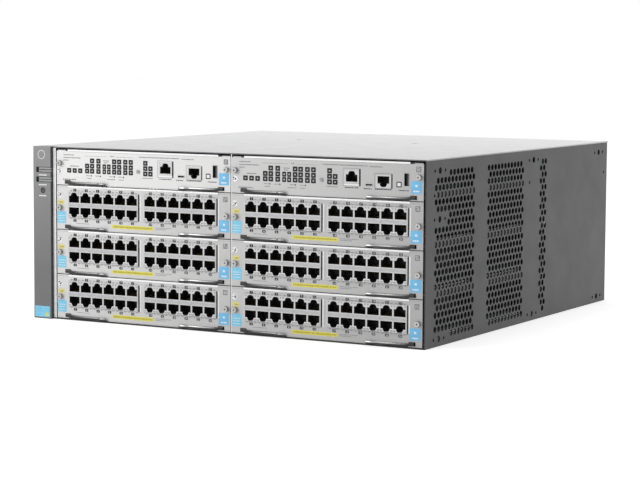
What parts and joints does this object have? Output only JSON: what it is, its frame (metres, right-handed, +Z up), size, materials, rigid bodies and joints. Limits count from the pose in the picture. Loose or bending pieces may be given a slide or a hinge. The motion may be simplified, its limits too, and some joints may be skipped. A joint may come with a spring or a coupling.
{
  "type": "modular chassis switch",
  "caption": "Rack-height network switch chassis with sliding front modules, ejector levers, a rear fan tray and rear power supplies.",
  "frame": {"origin": "middle of the chassis footprint on the surface that it stands on", "axes": "+X towards the perforated right side as seen from the front, +Y towards the rear, +Z up"},
  "size_m": [0.4444, 0.4508, 0.1753],
  "materials": {
    "bezel_grey": "satin dark grey paint",
    "cover_grey": "satin pale grey metallic paint",
    "zinc_plate": "bright zinc plated sheet",
    "face_silver": "smooth pale silver face",
    "jack_metal": "tin plated shield round black sockets",
    "board_green": "green solder mask",
    "lever_steel": "bright plated steel",
    "clear_plastic": "frosted light pipe",
    "button_plastic": "black button",
    "fan_plastic": "black moulded fan",
    "supply_steel": "plated steel case",
    "latch_plastic": "moulded thumb latch",
    "screw_steel": "plated screw heads"
  },
  "bodies": {
    "chassis": {"chassis_tray": "bezel_grey", "top_cover": "cover_grey", "rear_panel": "bezel_grey", "rear_screws": "screw_steel", "fan_bay_wall": "zinc_plate", "centre_divider": "zinc_plate", "right_guides": "zinc_plate", "backplane": "board_green", "front_bezel": "bezel_grey", "bezel_light_pipes": "clear_plastic"},
    "module_a": {"module_a_carrier": "face_silver", "module_a_board": "board_green", "module_a_jacks": "jack_metal"},
    "module_a_lever_left": {"module_a_lever_left": "lever_steel"},
    "module_a_lever_right": {"module_a_lever_right": "lever_steel"},
    "module_b": {"module_b_carrier": "face_silver", "module_b_board": "board_green", "module_b_jacks": "jack_metal"},
    "module_b_lever_left": {"module_b_lever_left": "lever_steel"},
    "module_b_lever_right": {"module_b_lever_right": "lever_steel"},
    "module_c": {"module_c_carrier": "face_silver", "module_c_board": "board_green", "module_c_jacks": "jack_metal"},
    "module_c_lever_left": {"module_c_lever_left": "lever_steel"},
    "module_c_lever_right": {"module_c_lever_right": "lever_steel"},
    "module_d": {"module_d_carrier": "face_silver", "module_d_board": "board_green", "module_d_jacks": "jack_metal"},
    "module_d_lever_left": {"module_d_lever_left": "lever_steel"},
    "module_d_lever_right": {"module_d_lever_right": "lever_steel"},
    "module_e": {"module_e_carrier": "face_silver", "module_e_board": "board_green", "module_e_jacks": "jack_metal"},
    "module_e_lever_left": {"module_e_lever_left": "lever_steel"},
    "module_e_lever_right": {"module_e_lever_right": "lever_steel"},
    "module_f": {"module_f_carrier": "face_silver", "module_f_board": "board_green", "module_f_jacks": "jack_metal"},
    "module_f_lever_left": {"module_f_lever_left": "lever_steel"},
    "module_f_lever_right": {"module_f_lever_right": "lever_steel"},
    "manager_1": {"manager_1_carrier": "face_silver", "manager_1_board": "board_green"},
    "manager_1_lever_left": {"manager_1_lever_left": "lever_steel"},
    "manager_1_lever_right": {"manager_1_lever_right": "lever_steel"},
    "manager_1_button": {"manager_1_button": "button_plastic"},
    "manager_2": {"manager_2_carrier": "face_silver", "manager_2_board": "board_green"},
    "manager_2_lever_left": {"manager_2_lever_left": "lever_steel"},
    "manager_2_lever_right": {"manager_2_lever_right": "lever_steel"},
    "manager_2_button": {"manager_2_button": "button_plastic"},
    "fan_tray": {"fan_tray_frame": "zinc_plate"},
    "fan_rotor_1": {"fan_rotor_1": "fan_plastic"},
    "fan_rotor_2": {"fan_rotor_2": "fan_plastic"},
    "fan_rotor_3": {"fan_rotor_3": "fan_plastic"},
    "psu_1": {"psu_1_case": "supply_steel"},
    "psu_1_latch": {"psu_1_latch": "latch_plastic"},
    "psu_1_fan": {"psu_1_fan": "fan_plastic"},
    "psu_2": {"psu_2_case": "supply_steel"},
    "psu_2_latch": {"psu_2_latch": "latch_plastic"},
    "psu_2_fan": {"psu_2_fan": "fan_plastic"}
  },
  "joints": [
    {"name": "module_a_slide", "type": "slide", "parent": "chassis", "child": "module_a", "axis": [0, -1, 0], "range_m": [0, 0.262]},
    {"name": "module_a_lever_left_turn", "type": "hinge", "parent": "module_a", "child": "module_a_lever_left", "pos_m": [-0.18145, -0.21775, 0.0933], "axis": [0, 0, -1], "range_deg": [0, 65]},
    {"name": "module_a_lever_right_turn", "type": "hinge", "parent": "module_a", "child": "module_a_lever_right", "pos_m": [0.00105, -0.21775, 0.0933], "axis": [0, 0, 1], "range_deg": [0, 65]},
    {"name": "module_b_slide", "type": "slide", "parent": "chassis", "child": "module_b", "axis": [0, -1, 0], "range_m": [0, 0.262]},
    {"name": "module_b_lever_left_turn", "type": "hinge", "parent": "module_b", "child": "module_b_lever_left", "pos_m": [0.02645, -0.21775, 0.0933], "axis": [0, 0, -1], "range_deg": [0, 65]},
    {"name": "module_b_lever_right_turn", "type": "hinge", "parent": "module_b", "child": "module_b_lever_right", "pos_m": [0.20895, -0.21775, 0.0933], "axis": [0, 0, 1], "range_deg": [0, 65]},
    {"name": "module_c_slide", "type": "slide", "parent": "chassis", "child": "module_c", "axis": [0, -1, 0], "range_m": [0, 0.262]},
    {"name": "module_c_lever_left_turn", "type": "hinge", "parent": "module_c", "child": "module_c_lever_left", "pos_m": [-0.18145, -0.21775, 0.0481], "axis": [0, 0, -1], "range_deg": [0, 65]},
    {"name": "module_c_lever_right_turn", "type": "hinge", "parent": "module_c", "child": "module_c_lever_right", "pos_m": [0.00105, -0.21775, 0.0481], "axis": [0, 0, 1], "range_deg": [0, 65]},
    {"name": "module_d_slide", "type": "slide", "parent": "chassis", "child": "module_d", "axis": [0, -1, 0], "range_m": [0, 0.262]},
    {"name": "module_d_lever_left_turn", "type": "hinge", "parent": "module_d", "child": "module_d_lever_left", "pos_m": [0.02645, -0.21775, 0.0481], "axis": [0, 0, -1], "range_deg": [0, 65]},
    {"name": "module_d_lever_right_turn", "type": "hinge", "parent": "module_d", "child": "module_d_lever_right", "pos_m": [0.20895, -0.21775, 0.0481], "axis": [0, 0, 1], "range_deg": [0, 65]},
    {"name": "module_e_slide", "type": "slide", "parent": "chassis", "child": "module_e", "axis": [0, -1, 0], "range_m": [0, 0.262]},
    {"name": "module_e_lever_left_turn", "type": "hinge", "parent": "module_e", "child": "module_e_lever_left", "pos_m": [-0.18145, -0.21775, 0.0029], "axis": [0, 0, -1], "range_deg": [0, 65]},
    {"name": "module_e_lever_right_turn", "type": "hinge", "parent": "module_e", "child": "module_e_lever_right", "pos_m": [0.00105, -0.21775, 0.0029], "axis": [0, 0, 1], "range_deg": [0, 65]},
    {"name": "module_f_slide", "type": "slide", "parent": "chassis", "child": "module_f", "axis": [0, -1, 0], "range_m": [0, 0.262]},
    {"name": "module_f_lever_left_turn", "type": "hinge", "parent": "module_f", "child": "module_f_lever_left", "pos_m": [0.02645, -0.21775, 0.0029], "axis": [0, 0, -1], "range_deg": [0, 65]},
    {"name": "module_f_lever_right_turn", "type": "hinge", "parent": "module_f", "child": "module_f_lever_right", "pos_m": [0.20895, -0.21775, 0.0029], "axis": [0, 0, 1], "range_deg": [0, 65]},
    {"name": "manager_1_slide", "type": "slide", "parent": "chassis", "child": "manager_1", "axis": [0, -1, 0], "range_m": [0, 0.262]},
    {"name": "manager_1_lever_left_turn", "type": "hinge", "parent": "manager_1", "child": "manager_1_lever_left", "pos_m": [-0.18145, -0.21775, 0.1385], "axis": [0, 0, -1], "range_deg": [0, 65]},
    {"name": "manager_1_lever_right_turn", "type": "hinge", "parent": "manager_1", "child": "manager_1_lever_right", "pos_m": [0.00105, -0.21775, 0.1385], "axis": [0, 0, 1], "range_deg": [0, 65]},
    {"name": "manager_1_button_press", "type": "slide", "parent": "manager_1", "child": "manager_1_button", "axis": [0, 1, 0], "range_m": [0, 0.0012], "stiffness_N_per_m": 300},
    {"name": "manager_2_slide", "type": "slide", "parent": "chassis", "child": "manager_2", "axis": [0, -1, 0], "range_m": [0, 0.262]},
    {"name": "manager_2_lever_left_turn", "type": "hinge", "parent": "manager_2", "child": "manager_2_lever_left", "pos_m": [0.02645, -0.21775, 0.1385], "axis": [0, 0, -1], "range_deg": [0, 65]},
    {"name": "manager_2_lever_right_turn", "type": "hinge", "parent": "manager_2", "child": "manager_2_lever_right", "pos_m": [0.20895, -0.21775, 0.1385], "axis": [0, 0, 1], "range_deg": [0, 65]},
    {"name": "manager_2_button_press", "type": "slide", "parent": "manager_2", "child": "manager_2_button", "axis": [0, 1, 0], "range_m": [0, 0.0012], "stiffness_N_per_m": 300},
    {"name": "fan_tray_slide", "type": "slide", "parent": "chassis", "child": "fan_tray", "axis": [0, 1, 0], "range_m": [0, 0.4247]},
    {"name": "fan_rotor_1_spin", "type": "hinge", "parent": "fan_tray", "child": "fan_rotor_1", "pos_m": [-0.20075, -0.14745, 0.084], "axis": [1, 0, 0], "continuous": true},
    {"name": "fan_rotor_2_spin", "type": "hinge", "parent": "fan_tray", "child": "fan_rotor_2", "pos_m": [-0.20075, -0.01345, 0.084], "axis": [1, 0, 0], "continuous": true},
    {"name": "fan_rotor_3_spin", "type": "hinge", "parent": "fan_tray", "child": "fan_rotor_3", "pos_m": [-0.20075, 0.12055, 0.084], "axis": [1, 0, 0], "continuous": true},
    {"name": "psu_1_slide", "type": "slide", "parent": "chassis", "child": "psu_1", "axis": [0, 1, 0], "range_m": [0, 0.1606]},
    {"name": "psu_1_latch_slide", "type": "slide", "parent": "psu_1", "child": "psu_1_latch", "axis": [-1, 0, 0], "range_m": [0, 0.003], "stiffness_N_per_m": 400},
    {"name": "psu_1_fan_spin", "type": "hinge", "parent": "psu_1", "child": "psu_1_fan", "pos_m": [-0.03975, 0.21545, 0.042], "axis": [0, 1, 0], "continuous": true},
    {"name": "psu_2_slide", "type": "slide", "parent": "chassis", "child": "psu_2", "axis": [0, 1, 0], "range_m": [0, 0.1606]},
    {"name": "psu_2_latch_slide", "type": "slide", "parent": "psu_2", "child": "psu_2_latch", "axis": [-1, 0, 0], "range_m": [0, 0.003], "stiffness_N_per_m": 400},
    {"name": "psu_2_fan_spin", "type": "hinge", "parent": "psu_2", "child": "psu_2_fan", "pos_m": [0.16225, 0.21545, 0.042], "axis": [0, 1, 0], "continuous": true}
  ]
}
